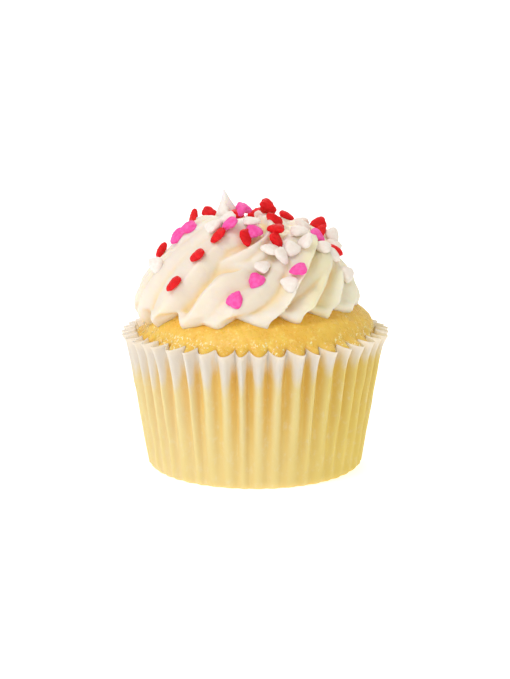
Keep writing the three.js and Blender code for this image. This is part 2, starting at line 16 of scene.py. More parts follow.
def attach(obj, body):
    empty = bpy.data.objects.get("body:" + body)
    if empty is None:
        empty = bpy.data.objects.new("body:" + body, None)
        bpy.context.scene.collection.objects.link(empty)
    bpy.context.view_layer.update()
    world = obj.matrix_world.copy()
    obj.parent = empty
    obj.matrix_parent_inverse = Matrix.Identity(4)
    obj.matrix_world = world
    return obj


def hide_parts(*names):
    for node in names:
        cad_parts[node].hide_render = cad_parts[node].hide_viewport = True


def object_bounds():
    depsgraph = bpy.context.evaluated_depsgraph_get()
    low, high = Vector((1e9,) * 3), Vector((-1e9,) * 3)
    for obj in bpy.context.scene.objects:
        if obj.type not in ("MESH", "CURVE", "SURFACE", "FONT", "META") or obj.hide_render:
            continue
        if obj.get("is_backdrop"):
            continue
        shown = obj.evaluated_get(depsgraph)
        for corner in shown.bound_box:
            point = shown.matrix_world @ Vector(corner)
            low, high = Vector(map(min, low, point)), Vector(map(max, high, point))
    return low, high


MM = 0.001

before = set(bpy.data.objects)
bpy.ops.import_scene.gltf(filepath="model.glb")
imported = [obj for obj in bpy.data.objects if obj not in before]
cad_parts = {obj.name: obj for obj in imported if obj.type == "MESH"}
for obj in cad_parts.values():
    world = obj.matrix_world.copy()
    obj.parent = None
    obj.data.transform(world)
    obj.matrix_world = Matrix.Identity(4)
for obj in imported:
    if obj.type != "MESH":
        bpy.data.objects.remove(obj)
cad_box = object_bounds()

# ---------------- driving dimensions

# picture
IMAGE_HEIGHT = 679
SENSOR_HEIGHT = 36.0
PIXELS_PER_MM = 4.142  # at the cupcake's axis
CAMERA_ELEVATION = 11.86
CAMERA_DISTANCE = 450.0
CAMERA_CLIP = 10.0  # nothing nearer to the camera is seen
AIM = (0.0, 0.0, 30.2)
FLOOR_REACH = 30000.0  # so far that its edge isn't in the picture
FLOOR_GLOW = 0.63  # the floor is a light table
FILL = 0.64  # strength of the soft light from all round
FILL_LEFT = (1.0, 0.985, 0.96)
FILL_RIGHT = (1.0, 0.96, 0.80)  # a golden reflector
FILL_FADE = (-0.3, 0.8)  # where the one fades into the other, -1 being the far left and 1 the far right

# The cupcake's radius, roughly, by which uneven surfaces are laid out round it.
ROUGH_RADIUS = 30

# paper case
CASE_BASE_RADIUS = 25.7  # middle of the pleats at the ground, but for the foot
CASE_RIM_RADIUS = 30.1  # middle of the pleats, just under the flare
CASE_FLARE = 0.75  # how far the last few millimetres turn outwards
CASE_FLARE_HEIGHT = 6  # how far below the rim the flare starts
CASE_HEIGHT = 33.8
CASE_THICKNESS = 0.11
CASE_FLOOR = 0.3
CASE_FOOT_INSET = 0.9  # the wall turns in this far to the ground
CASE_FOOT_HEIGHT = 0.9  # over this height
CASE_FOOT_POWER = 1.6
CASE_WOBBLE = 0.16  # how far the wall strays from its even form
WOBBLE_START = 6  # height at which it strays that far
PLEATS = 44
PLEAT_TURN = -1.8  # angle of the first inner fold, from the front
PLEAT_SAMPLES = 14  # columns of vertices to a pleat
PLEAT_DEPTH_RIM = 1.62  # half the height of a pleat at the rim
PLEAT_DEPTH_BASE = 0.2  # the same at the ground
PLEAT_GROWTH = 1.15  # power of the height by which the pleats grow deeper
PLEAT_INWARDS = 1.1  # the inner folds reach a little further in than the crests reach out
PLEAT_OPENS_AT = 0.68  # share of the height above which the narrow crests open out
PLEAT_OPENING = 0.3  # share of the height over which they do
CREST_NARROW = 1.9  # power of the sine that shapes a crest low down
CREST_WIDE = 1.1  # and at the rim
FOLD_UNEVEN = (-0.13, 0.13)  # how far a fold strays round the case, as a share of a pleat
DEPTH_UNEVEN = (-0.16, 0.14)  # how much a pleat's depth differs, as a share of it
RIM_UNEVEN = (-0.3, 0.2)  # how much the rim's height differs from pleat to pleat
RIM_DIP = 0.95  # how far the rim dips between two inner folds
RIM_DIP_POWER = 0.75
RIM_REACH = 4  # how far below the rim this is felt

# sponge
CAKE_EDGE_RADIUS = 28.1
CAKE_EDGE_HEIGHT = 33.4
CAKE_DOME_HEIGHT = 44.0
CAKE_ROUNDING = 0.6  # the dome's curve would end this far outside its edge
CAKE_FLOOR = 0.9
CAKE_GAP = 0.12  # between the sponge and the paper
CAKE_DOME_ROWS = 70
LEFT_DRAWN_IN = 2.0  # the sponge's left shoulder stands this much further in
CRUST_SUNK = 0.15  # the uneven crust lies this much deeper on average
CRUST_UP = 0.7  # its unevenness upwards, as a share of that outwards

# Where parts of the sponge begin, and over how much they grow to the full: the front by the cosine of the
# angle from it, the left by the distance to that side, its shoulder and the crust by height.
IN_FRONT = (0.15, 0.5)
ON_LEFT = (16, 11)
SHOULDER = (31.5, 2.5)
CRUST = (31, 3)

# The sponge's side, hidden by the paper: height and radius.
CAKE_SIDE = ((1.6, 23.8), (4, 24.4), (14, 25.6), (24, 26.4), (28.5, 26.9))

# Its shoulder: height, radius where it doesn't reach into the pockets of the pleats, and the share of a
# pocket that it fills in front and elsewhere.
CAKE_SHOULDER = (
    (30.0, 27.3, 0.5, 0.5),
    (31.2, 27.9, 1.0, 0.9),
    (32.4, 28.1, 1.0, 0.3),
    (33.2, 28.3, 0.85, 0.0),
    (33.8, 28.6, 0.45, 0.0),
    (34.3, 28.7, 0.1, 0.0),
    (34.9, 28.4, 0.0, 0.0),
)

# frosting
SWIRL_OFFSET = -1.9  # the swirl sits a little to the left
SWIRL_LEVEL = 44  # height of the swirl's middle
PEAK_TIP = (-7.5, 0.0, 67.2)
PEAK_FOOT = (-5.6, 0.0, 57.0)
PEAK_RADIUS = 4.8
PEAK_POWER = 1.4  # the higher, the sooner it narrows
PEAK_TIP_RADIUS = 0.25
PEAK_CONE = 0.4  # a plain cone of this radius that is added
PEAK_SIDES = 32
PEAK_RINGS = 24
PEAK_END = 0.97  # share of its height where the last ring stands
ROPE_SAG = 0.28  # how much the upper half of the rope draws in towards its middle line
RIDGE_LOW = -30.0  # angle round the rope where a ridge starts to lean
LOW_END = -10  # angle round the rope up to which a ridge has its low form
HIGH_START = 70  # and from which it has its high form
SWELL_START = -28  # the rope swells up from this angle, counted from its first place
SWELL_LENGTH = 20  # over this angle
LEAST_SWELL = 0.02
LEAST_RADIUS = 0.8  # the rope stays this far from the middle of the swirl
RINGS_PER_RIDGE = 22
ROPE_SIDES = 110
ROPE_SEAM = -110  # angle round the rope, on its hidden side, where its columns begin
CORE_SIDES = 64
FROSTING_VOXEL = 0.352  # fineness of the frosting's one skin
SOFTENING_ROUNDS = 3
HOLLOW_ROUNDS = 70  # rounds of evening out that tell hollows from crests
HOLLOW_EVENING = 0.7  # how far each takes a vertex to the middle of its neighbours

# The hidden heap of frosting inside the swirl: radius and height.
CORE = [
    (0, 38), (19.5, 38), (19.8, 42), (19.2, 47), (17.8, 51.5), (15.4, 54), (11.5, 57), (6.5, 58.6), (0, 59),
]

# The rope's middle line and size along its spiral: angle from the front (anticlockwise from above), radius
# of the middle line, level of its widest place, half width, height above and depth below that level, and
# how far its top leans in towards the middle of the swirl.
ROPE = np.array([
    [20, 18.8, 41.8, 7.8, 9.0, 4.6, 0],
    [60, 18.8, 41.8, 8.2, 10.0, 4.6, 0],
    [110, 18.6, 41.6, 8.7, 10.2, 4.6, 0],
    [180, 18.0, 41.2, 9.4, 11.5, 5.2, 0],
    [230, 17.6, 40.4, 10.0, 13.0, 5.5, 1.5],
    [270, 17.2, 40.0, 10.1, 14.8, 5.5, 3.5],
    [310, 17.0, 40.0, 10.0, 17.0, 5.0, 4.5],
    [338, 16.8, 40.6, 9.8, 17.0, 4.6, 4.5],
    [352, 16.7, 41.0, 9.9, 11.5, 5.0, 1.5],
    [366, 16.7, 41.4, 10.0, 8.6, 6.0, 0],
    [380, 16.2, 43.0, 10.0, 9.0, 7.5, 0],
    [392, 15.2, 47.0, 9.8, 10.6, 9.0, 0],
    [410, 13.9, 49.8, 9.3, 9.0, 7.2, 0],
    [440, 13.4, 50.2, 8.9, 8.0, 6.4, 0],
    [480, 12.8, 50.6, 9.2, 8.0, 6.0, 0],
    [540, 11.8, 51.0, 9.4, 8.0, 6.0, 0],
    [600, 10.4, 51.6, 9.2, 8.4, 6.0, 0],
    [660, 9.0, 52.2, 8.8, 8.8, 6.5, 0],
    [700, 8.6, 52.4, 9.3, 8.6, 7.2, 0],
    [735, 8.0, 52.6, 9.2, 8.4, 7.0, 0],
    [780, 5.0, 53.8, 7.4, 7.0, 5.0, 0],
])


def even_ridges(first, last, count, depth):
    """Ridges that are all alike, evenly spaced from one foot to another."""
    feet = [first + (last - first) * k / (count - 1) for k in range(count)]
    return [[foot, 40, 90, 0.74, 0.74, depth, 0.9 * depth, 0.3] for foot in feet]


# Each ridge along the rope: the angle where its foot stands, how far it leans on, the angle round the rope
# where it has its full lean, the rising share of its width low down and high up, the depth of the groove
# before it low down and high up, and how sharp its crest is.
RIDGES = np.array([
    [5, 40, 90, 0.74, 0.74, 2.0, 2.0, 0.3],
    [28, 38, 90, 0.50, 0.50, 3.6, 3.0, 0.2],
    [47, 36, 80, 0.70, 0.70, 4.0, 3.0, 0.7],
    [69, 40, 90, 0.85, 0.85, 4.2, 3.0, 0.1],
    [90, 38, 90, 0.74, 0.74, 2.4, 2.2, 0.2],
    *even_ridges(110, 250, 8, 3.2),
    [270, 27, 90, 0.74, 0.74, 2.4, 0.8, 0.2],
    [288, 14, 90, 0.60, 0.60, 2.4, 0.4, 0.0],
    [304, 34, 80, 0.62, 0.62, 2.8, 0.4, 0.5],
    [325, 35, 90, 0.35, 0.30, 4.6, 4.2, 0.3],
    [345, 33, 80, 0.42, 0.30, 1.4, 1.0, 0.4],
    [371, 60, 65, 0.60, 0.62, 3.4, 2.0, 0.7],
    [416, 38, 90, 0.85, 0.85, 5.0, 4.2, 0.1],
    [440, 38, 90, 0.74, 0.74, 1.6, 1.2, 0.2],
    *even_ridges(463, 591, 6, 2.8),
    [613, 38, 90, 0.74, 0.74, 1.4, 1.0, 0.2],
    [636, 36, 90, 0.74, 0.74, 0.8, 0.6, 0.2],
    [659, 34, 90, 0.74, 0.74, 0.6, 0.5, 0.2],
    [682, 34, 95, 0.70, 0.70, 0.6, 0.4, 0.1],
    [690, 70, 75, 0.22, 0.22, 3.8, 3.4, 0.0],
    [722, 58, 90, 0.35, 0.35, 1.2, 0.8, 0.2],
    [750, 48, 90, 0.74, 0.74, 2.4, 1.4, 0.3],
    *even_ridges(774, 824, 3, 1.4),
], dtype=float)

# sprinkles
HEART_WIDTH = 4.5
HEART_LENGTH = 4.3
HEART_THICKNESS = 1.5
HEART_PLUMP = 1.2  # the middle of a heart is this much thicker
HEART_NOTCH = 0.15  # depth of the notch, as a share of half its length
HEART_NOTCH_WIDTH = 0.42  # in radians round the heart
HEART_FLAT = 0.86  # share of a heart that is flat before its edge rounds off
HEART_EDGE = (0.8, 0.95)  # powers of the sine and cosine that round its edge, 1 being a half circle
HEART_BUMPS = (0.05, 0.08)  # unevenness of its outline and its surface
HEART_COLUMNS = 40
HEART_RINGS = 15
HEART_SIZES = (0.93, 1.04)  # range of its width and length, as shares of those above
HEART_THICKNESSES = (0.88, 1.12)
HEART_SKEW = 0.08  # how far its tip may stray, as a share of its length
HEART_SUNK = 0.35  # how deep a heart is pressed into the frosting
HEART_MAX_STEP = 2.6  # how far the middle of a heart may stand off the frosting
HEART_HOLD = 0.05  # least share of a heart that lies inside what it sticks to
HEART_HOLD_EVERY = 5  # one vertex in so many is tested for it
HEART_LOWERING = 0.2  # step by which a heart that doesn't stick is lowered
HEART_NEAR = 1.5  # widths within which other hearts may hold it too
STEEPEST = 0.4  # a slope that faces the eye less than this counts as this
PASS_DEPTH = 16  # how far before and behind the middle a place over the edge is sought
PASS_STEP = 2
HEARTS_BEHIND = 20
BEHIND_COLOURS = ("red", "white", "white", "pink", "red", "white", "red")
HEART_SPACING = 4.4  # least distance between the hearts behind
LOWEST_BEHIND = 42  # height above which they are found
BEHIND_FROM = 108  # angle from the front where they begin, anticlockwise from above
BEHIND_SPAN = 142  # and the angle that they spread over
BEHIND_RISE_FROM = 12  # they are sought from this angle above the level
BEHIND_RISE_SPAN = 62  # over this angle
BEHIND_LEAN = 25  # none has its far edge lifted by more than this angle
SEARCH_DISTANCE = 60  # the search for a place starts this far from the swirl's middle
BEHIND_SEED = 20260
SHAPE_SEED = 7

# The slope of the frosting under a heart is found from three places round its middle.
FEEL_REACH = 1.4  # how far out they are
FEEL_STEP_LIMIT = 4  # none may be further from the middle than this
FEEL_SMOOTHING = 0.25  # how much the slope is drawn towards that of a plain dome

# The camera's place, rounded: the front hearts are laid out as seen from it.
FRONT_EYE = Vector((0, -440, 122.7))
SWIRL_MIDDLE = Vector((SWIRL_OFFSET, 0, SWIRL_LEVEL))

# Front hearts: colour, across and height in the upright plane through the middle, then as seen from the
# front how far the heart is spun (0 with its tip down), how far its face is tilted away, towards which
# direction, and how far it is raised by what lies under it, which one over the swirl's edge doesn't need.
HEARTS = [
    ("red", -14.6, 59.9, 175, 75, 170, 0.3), ("red", -10.5, 60.9, 70, 48, 70, 0.2),
    ("pink", -15.9, 57.4, 295, 55, 115, 0.0), ("pink", -18.5, 55.3, 315, 55, 135, 0.0),
    ("red", -22.7, 52.2, 150, 88, 150, 0.4), ("white", -23.7, 48.2, 5, 35, 170, 0.0),
    ("red", -13.9, 50.7, 311, 72, 131, 0.0), ("red", -19.6, 43.8, 318, 72, 138, 0.0),
    ("red", -8.9, 55.5, 315, 70, 135, 0.0), ("pink", -6.1, 58.4, 307, 72, 127, 0.3),
    ("pink", -3.8, 60.8, 325, 75, 145, 1.2), ("pink", -2.6, 62.1, 70, 68, 70, 1.6),
    ("red", -4.8, 60.7, 270, 75, 90, -0.8), ("white", -7.6, 61.8, 178, 55, 170, 0.0),
    ("white", -9.8, 58.0, 120, 60, 120, 0.0), ("white", -6.8, 59.7, 300, 62, 120, 0.0),
    ("pink", -0.1, 56.5, 80, 45, 80, 0.3), ("red", -2.1, 55.0, 15, 55, 15, 0.3),
    ("white", -0.7, 59.0, 90, 72, 90, 0.0), ("red", 0.4, 61.6, 285, 60, 105, 0.8),
    ("red", 3.2, 62.6, 55, 50, 55, 2.0), ("red", 4.3, 59.3, 215, 30, 45, 1.2),
    ("red", 4.9, 57.2, 275, 74, 95, 0.6), ("red", 5.2, 54.3, 30, 62, 30, 0.2),
    ("white", 3.4, 52.3, 255, 63, 75, 0.2), ("white", 6.5, 50.6, 30, 58, 30, 0.2),
    ("white", 8.8, 52.2, 330, 40, 60, 0.3), ("white", 12.2, 54.4, 150, 55, 140, 0.3),
    ("white", 10.7, 56.7, 90, 60, 90, 0.0), ("white", 11.2, 58.1, 230, 65, 50, 0.3),
    ("red", 7.6, 60.1, 55, 85, 55, 0.2), ("red", 15.3, 58.7, 280, 35, 80, 1.6),
    ("red", 15.5, 56.6, 150, 55, 120, 0.8), ("pink", 14.9, 55.4, 50, 60, 50, 0.0),
    ("white", 18.6, 55.5, 30, 45, 30, 1.2), ("white", 18.8, 53.4, 240, 70, 60, 0.8),
    ("white", 15.9, 52.9, 255, 60, 75, 0.2), ("white", 18.7, 50.9, 45, 62, 45, 0.0),
    ("red", 19.1, 52.0, 60, 82, 60, 0.4), ("white", 22.2, 46.0, 355, 50, 20, 0.2),
    ("pink", 10.3, 47.3, 285, 52, 105, 0.0), ("white", 8.0, 43.9, 250, 20, 110, 0.0),
    ("pink", 0.2, 44.3, 335, 25, 110, 0.0), ("pink", -4.7, 40.1, 150, 25, 130, 0.0),
    ("white", 1.8, 47.8, 10, 55, 85, 0.0),
]

# ---------------- small tools


def eased(share):
    """A share from 0 to 1 that starts and ends gently."""
    return share * share * (3 - 2 * share)


def ramp(value, start, length):
    """0 before the start, 1 from a length beyond it, and straight between them."""
    return np.clip((value - start) / length, 0, 1)


def curve_between(s, start, end, start_slope, end_slope):
    """Smooth curve between two values, at shares s of the way."""
    first = (2 * s ** 3 - 3 * s ** 2 + 1) * start + (s ** 3 - 2 * s ** 2 + s) * start_slope
    return first + (3 * s ** 2 - 2 * s ** 3) * end + (s ** 3 - s ** 2) * end_slope


def wave_noise(points, scale, seed, octaves):
    """Smooth repeatable noise, about -1 to 1, from sine waves in scattered directions."""
    waves, finer, fainter, spread = 7, 1.9, 0.6, 4.5
    rng = np.random.default_rng(seed)
    total = np.zeros(len(points))
    for octave in range(octaves):
        for _ in range(waves):
            direction = rng.normal(size=3)
            direction /= np.linalg.norm(direction)
            frequency = 2 * math.pi / scale * (finer ** octave) * rng.uniform(0.7, 1.3)
            total += np.sin(points @ direction * frequency + rng.uniform(0, 6.28)) * fainter ** octave
    return total / spread


def repeatable_numbers(seed):
    """Random numbers from 0 to 1 by a linear congruence, the same as in the solids."""
    while True:
        seed = (seed * 1664525 + 1013904223) % 2 ** 32
        yield seed / 2 ** 32


# ---------------- meshes


def in_scene(name, data):
    """A new object in the scene, at the origin."""
    obj = bpy.data.objects.new(name, data)
    bpy.context.scene.collection.objects.link(obj)
    return obj


def mesh_object(name, vertices, faces):
    """A smooth-shaded mesh object from vertices in millimetres."""
    mesh = bpy.data.meshes.new(name)
    mesh.from_pydata((np.asarray(vertices, dtype=float) * MM).tolist(), [], faces)
    mesh.update()
    mesh.polygons.foreach_set("use_smooth", [True] * len(mesh.polygons))
    return in_scene(name, mesh)


def vertex_values(mesh, name, values):
    """Gives a mesh one number for each vertex, which a material can read."""
    mesh.attributes.new(name, "FLOAT", "POINT").data.foreach_set("value", values)


def closed_tube(rings, first=None, last=None):
    """Vertices and faces of rings (rows, columns, 3), with a point in the middle of each end."""
    rows, columns = rings.shape[:2]
    first = rings[0].mean(axis=0) if first is None else first
    last = rings[-1].mean(axis=0) if last is None else last
    vertices = np.vstack([rings.reshape(-1, 3), first, last])
    faces = []
    for i in range(rows - 1):
        a = i * columns
        for j in range(columns):
            k = (j + 1) % columns
            faces.append((a + j, a + k, a + columns + k, a + columns + j))
    a = rows * columns
    for j in range(columns):
        k = (j + 1) % columns
        faces.append((a, k, j))
        faces.append((a + 1, (rows - 1) * columns + j, (rows - 1) * columns + k))
    return vertices, faces


def turned(profile, segments, offset):
    """Vertices and faces of a profile of (radius, height) pairs turned round an upright axis."""
    profile = np.array(profile, dtype=float)
    angle = np.arange(segments) * 2 * math.pi / segments
    inner = profile[1:-1]
    rings = np.empty((len(inner), segments, 3))
    rings[:, :, 0] = offset + inner[:, :1] * np.sin(angle)
    rings[:, :, 1] = -inner[:, :1] * np.cos(angle)
    rings[:, :, 2] = inner[:, 1:]
    return closed_tube(rings, (offset, 0, profile[0, 1]), (offset, 0, profile[-1, 1]))


def joined(name, parts):
    """One mesh object from several (vertices, faces)."""
    vertices, faces, count = [], [], 0
    for part_vertices, part_faces in parts:
        vertices.append(np.asarray(part_vertices, dtype=float))
        faces.extend(tuple(count + i for i in face) for face in part_faces)
        count += len(part_vertices)
    return mesh_object(name, np.vstack(vertices), faces)


# ---------------- frosting shape


def along(values, p):
    """Smooth curve through evenly numbered values, at places p."""
    slope = np.gradient(values)
    i = np.clip(np.floor(p).astype(int), 0, len(values) - 2)
    return curve_between(p - i, values[i], values[i + 1], slope[i], slope[i + 1])


def rope_at(angle):
    """The rope's middle line and size at angles along the spiral."""
    x = ROPE[:, 0]
    t = np.clip(angle, x[0], x[-1])
    i = np.clip(np.searchsorted(x, t) - 1, 0, len(x) - 2)
    width = x[i + 1] - x[i]
    s = (t - x[i]) / width
    lo = np.maximum(np.arange(len(x)) - 1, 0)
    hi = np.minimum(np.arange(len(x)) + 1, len(x) - 1)
    values = []
    for y in ROPE.T[1:]:
        slope = (y[hi] - y[lo]) / (x[hi] - x[lo])
        values.append(curve_between(s, y[i], y[i + 1], slope[i] * width, slope[i + 1] * width))
    return values


def lean_at(p, psi):
    """How far a ridge has leaned round the spiral, at psi round the rope (-90 under it, 90 on top)."""
    full_lean = along(RIDGES[:, 2], p)
    return along(RIDGES[:, 1], p) * eased(ramp(psi, RIDGE_LOW, full_lean - RIDGE_LOW))


def groove_at(p, psi):
    """Depth below the ridges' crests, which stand at whole numbers of p."""
    before = np.clip(np.floor(p).astype(int), 0, len(RIDGES) - 2)
    place = p - before
    rising_low, rising_high, low, high = (RIDGES[before + 1, column] for column in (3, 4, 5, 6))
    up = ramp(psi, LOW_END, HIGH_START - LOW_END)
    rising = rising_low + (rising_high - rising_low) * up
    falls = place < 1 - rising
    away = np.where(falls, place / (1 - rising), (1 - place) / rising)
    sharp = np.where(falls, RIDGES[before, 7], RIDGES[before + 1, 7])
    height = (1 - sharp) * np.cos(away * math.pi / 2) + sharp * (1 - np.sin(away * math.pi / 2))
    return (low + (high - low) * up) * (1 - height)


def rope_points(p, psi):
    """Points of the frosting rope: p counts the ridges along it, psi is the angle round it."""
    t = along(RIDGES[:, 0], p) + lean_at(p, psi)
    middle, level, half_width, above, below, lean_in = rope_at(t)
    swell = ramp(t, ROPE[0, 0] + SWELL_START, SWELL_LENGTH)
    taper = np.sqrt(np.clip(1 - (1 - swell) ** 2, LEAST_SWELL, 1))
    c, s = np.cos(np.radians(psi)), np.sin(np.radians(psi))
    up = s >= 0
    a = half_width * taper
    b = np.where(up, above * taper, below)
    square = np.where(up, 1, (np.abs(c) ** 3 + np.abs(s) ** 3) ** (1 / 3))
    out = a * c * (1 - np.where(up, ROPE_SAG * s, 0)) / square
    rise = b * s / square
    length = np.hypot(c / a, s / b)
    groove = groove_at(p, psi) * taper
    inwards = np.where(up, lean_in * s * s, 0)
    r = np.maximum(middle + out - inwards - groove * c / a / length, LEAST_RADIUS)
    z = level + rise - groove * s / b / length
    angle = np.radians(t)
    return np.stack([SWIRL_OFFSET + r * np.sin(angle), -r * np.cos(angle), z], axis=-1)


def rope_mesh():
    """The rope from its first groove to its last."""
    first = 1 - RIDGES[1, 3]
    last = len(RIDGES) - 1 - RIDGES[-1, 3]
    p = np.linspace(first, last, round((last - first) * RINGS_PER_RIDGE) + 1)
    psi = np.linspace(ROPE_SEAM, ROPE_SEAM + 360, ROPE_SIDES, endpoint=False)
    grid_p, grid_psi = np.meshgrid(p, psi, indexing="ij")
    return closed_tube(rope_points(grid_p, grid_psi)[:, ::-1])


def peak_mesh():
    """The peak, drawn out to a blunt tip."""
    rings = []
    angle = np.arange(PEAK_SIDES) * 2 * math.pi / PEAK_SIDES
    for s in np.linspace(0, PEAK_END, PEAK_RINGS):
        x, y, z = np.array(PEAK_FOOT) * (1 - s) + np.array(PEAK_TIP) * s
        r = PEAK_RADIUS * (1 - s) ** PEAK_POWER + PEAK_CONE * (1 - s) + PEAK_TIP_RADIUS
        rings.append(np.stack([x + r * np.cos(angle), y + r * np.sin(angle), 0 * angle + z], -1))
    return closed_tube(np.array(rings), PEAK_FOOT, PEAK_TIP)


def hollows(mesh, points, normals):
    """How deep each vertex lies below its surroundings evened out: less than 0 on a crest."""
    edges = np.empty(len(mesh.edges) * 2, dtype=int)
    mesh.edges.foreach_get("vertices", edges)
    one, other = edges.reshape(-1, 2).T
    n = len(points)
    neighbours = np.bincount(edges, minlength=n)
    even = points.copy()
    for _ in range(HOLLOW_ROUNDS):
        for axis in range(3):
            column = even[:, axis]
            total = np.bincount(one, column[other], n) + np.bincount(other, column[one], n)
            even[:, axis] = (1 - HOLLOW_EVENING) * column + HOLLOW_EVENING * total / neighbours
    return ((even - points) * normals).sum(axis=1)


def one_skin(raw):
    """The mesh of an object whose parts are fused into one soft skin."""
    remesh = raw.modifiers.new("one_skin", "REMESH")
    remesh.mode = "VOXEL"
    remesh.voxel_size = FROSTING_VOXEL * MM
    smooth = raw.modifiers.new("soften", "SMOOTH")
    smooth.factor = 0.5
    smooth.iterations = SOFTENING_ROUNDS
    depsgraph = bpy.context.evaluated_depsgraph_get()
    return bpy.data.meshes.new_from_object(raw.evaluated_get(depsgraph))


def make_frosting():
    """The swirl on its heap, its skin a little uneven as a palette knife or a tip leaves it."""
    raw = joined("frosting_raw", [rope_mesh(), turned(CORE, CORE_SIDES, SWIRL_OFFSET), peak_mesh()])
    mesh = one_skin(raw)
    mesh.name = "frosting_skin"
    bpy.data.objects.remove(raw)
    points = np.empty(len(mesh.vertices) * 3)
    normals = np.empty(len(mesh.vertices) * 3)
    mesh.vertices.foreach_get("co", points)
    mesh.vertices.foreach_get("normal", normals)
    points, normals = points.reshape(-1, 3) / MM, normals.reshape(-1, 3)
    broad = 0.10 * wave_noise(points, scale=7.0, seed=11, octaves=2)
    fine = 0.035 * wave_noise(points, scale=1.8, seed=12, octaves=2)
    points += normals * (broad + fine)[:, None]
    mesh.vertices.foreach_set("co", (points * MM).ravel())
    mesh.polygons.foreach_set("use_smooth", [True] * len(mesh.polygons))
    mesh.update()
    vertex_values(mesh, "hollow", hollows(mesh, points, normals))
    return in_scene("frosting_swirl", mesh)


# ---------------- sprinkles


class Seats:
    """Finds where a line from the outside meets the frosting, and how the surface lies there."""

    def __init__(self, obj):
        points = [v.co / MM for v in obj.data.vertices]
        self.tree = BVHTree.FromPolygons(points, [tuple(p.vertices) for p in obj.data.polygons])

    def hit(self, start, direction):
        """Where a line meets the frosting, or None."""
        return self.tree.ray_cast(start, direction)[0]

    def find(self, start, towards):
        """The point and the outward normal, levelled over a heart's width, or None where the line misses."""
        direction = (towards - start).normalized()
        side = Vector((0, 0, 1)).cross(direction).normalized()
        over = direction.cross(side)
        middle = self.hit(start, direction)
        if middle is None:
            return None
        around = []
        for angle in (90, 210, 330):
            shift = side * math.cos(math.radians(angle)) + over * math.sin(math.radians(angle))
            around.append(self.hit(start + FEEL_REACH * shift, direction))
        fallback = (middle - SWIRL_MIDDLE).normalized()
        normal = fallback
        if all(point is not None and (point - middle).length < FEEL_STEP_LIMIT for point in around):
            normal = (around[1] - around[0]).cross(around[2] - around[0]).normalized()
            if normal.dot(direction) > 0:
                normal.negate()
            normal = normal.lerp(fallback, FEEL_SMOOTHING).normalized()
        return middle, normal


def heart_outline(columns):
    """A rounded heart with a shallow notch, its tip towards -y; the first point is the tip."""
    angle = np.linspace(-math.pi, math.pi, columns, endpoint=False)
    # broad at the lobes and narrow towards the tip, then centred and brought to size
    x = np.sin(angle) * (0.84 + 0.34 * np.cos(angle))
    y = np.cos(angle) - HEART_NOTCH * np.exp(-(angle / HEART_NOTCH_WIDTH) ** 2)
    return np.stack([x * HEART_WIDTH / 2, (y + 0.07) * HEART_LENGTH / 1.9], -1)


def facing(direction):
    """Rotation of a heart whose face looks along a direction, tip down."""
    across = Vector((0, 0, 1)).cross(direction).normalized()
    return Matrix((across, direction.cross(across), direction)).transposed().to_quaternion()


def reach(rotation, direction):
    """How far a heart reaches from its middle along a direction."""
    local = rotation.inverted() @ direction
    flat = (heart_outline(columns=24) * HEART_FLAT) @ np.array((local.x, local.y))
    return flat.max() + HEART_THICKNESS / 2 * abs(local.z)


def closest_pass(seats, mark):
    """The frosting nearest to a line of sight over the swirl's edge, and the way and distance to it."""
    sight = (mark - FRONT_EYE).normalized()
    best = None
    for depth in range(-PASS_DEPTH, PASS_DEPTH + 1, PASS_STEP):
        place = mark + sight * depth
        point, _ = seats.find(place, SWIRL_MIDDLE)
        step = (place - point).length
        if best is None or step < best[2]:
            best = point, (place - point).normalized(), step
    return best


def seen_heart(seats, x, z, spin, tilt, tilt_direction, raised):
    """A heart as seen from the front: its point on the frosting, way and distance off it, and rotation."""
    mark = Vector((x, 0, z))
    found = seats.find(FRONT_EYE, mark)
    passed = None if found else closest_pass(seats, mark)
    point = (found or passed)[0]
    back = (FRONT_EYE - point).normalized()
    base = facing(back)
    turn = math.radians(tilt_direction)
    lean_to = base @ Vector((math.cos(turn), math.sin(turn), 0))
    tilted = Quaternion(back.cross(lean_to), math.radians(tilt))
    rotation = tilted @ Quaternion(back, math.radians(spin)) @ base
    if passed:
        return *passed, rotation
    normal = found[1]
    step = (reach(rotation, -normal) - HEART_SUNK) / max(back.dot(normal), STEEPEST) + raised
    return point, back, min(step, HEART_MAX_STEP), rotation


def hearts_behind(seats):
    """The hearts on the hidden side, each given like seen_heart's; they lie on the frosting, a bit tilted."""
    draw = repeatable_numbers(BEHIND_SEED)
    taken = []
    while len(taken) < HEARTS_BEHIND:
        angle = math.radians(BEHIND_FROM + BEHIND_SPAN * next(draw))
        rise = math.radians(BEHIND_RISE_FROM + BEHIND_RISE_SPAN * next(draw))
        spin = 360 * next(draw)
        lean = BEHIND_LEAN * next(draw) ** 2
        level = math.cos(rise)
        outward = Vector((math.sin(angle) * level, -math.cos(angle) * level, math.sin(rise)))
        point, normal = seats.find(SWIRL_MIDDLE + outward * SEARCH_DISTANCE, SWIRL_MIDDLE)
        if point.z > LOWEST_BEHIND and all((other - point).length > HEART_SPACING for other in taken):
            taken.append(point)
            spun = Quaternion((0, 0, 1), math.radians(spin))
            rotation = facing(normal) @ spun @ Quaternion((1, 0, 0), math.radians(lean))
            yield point, normal, reach(rotation, -normal) - HEART_SUNK, rotation


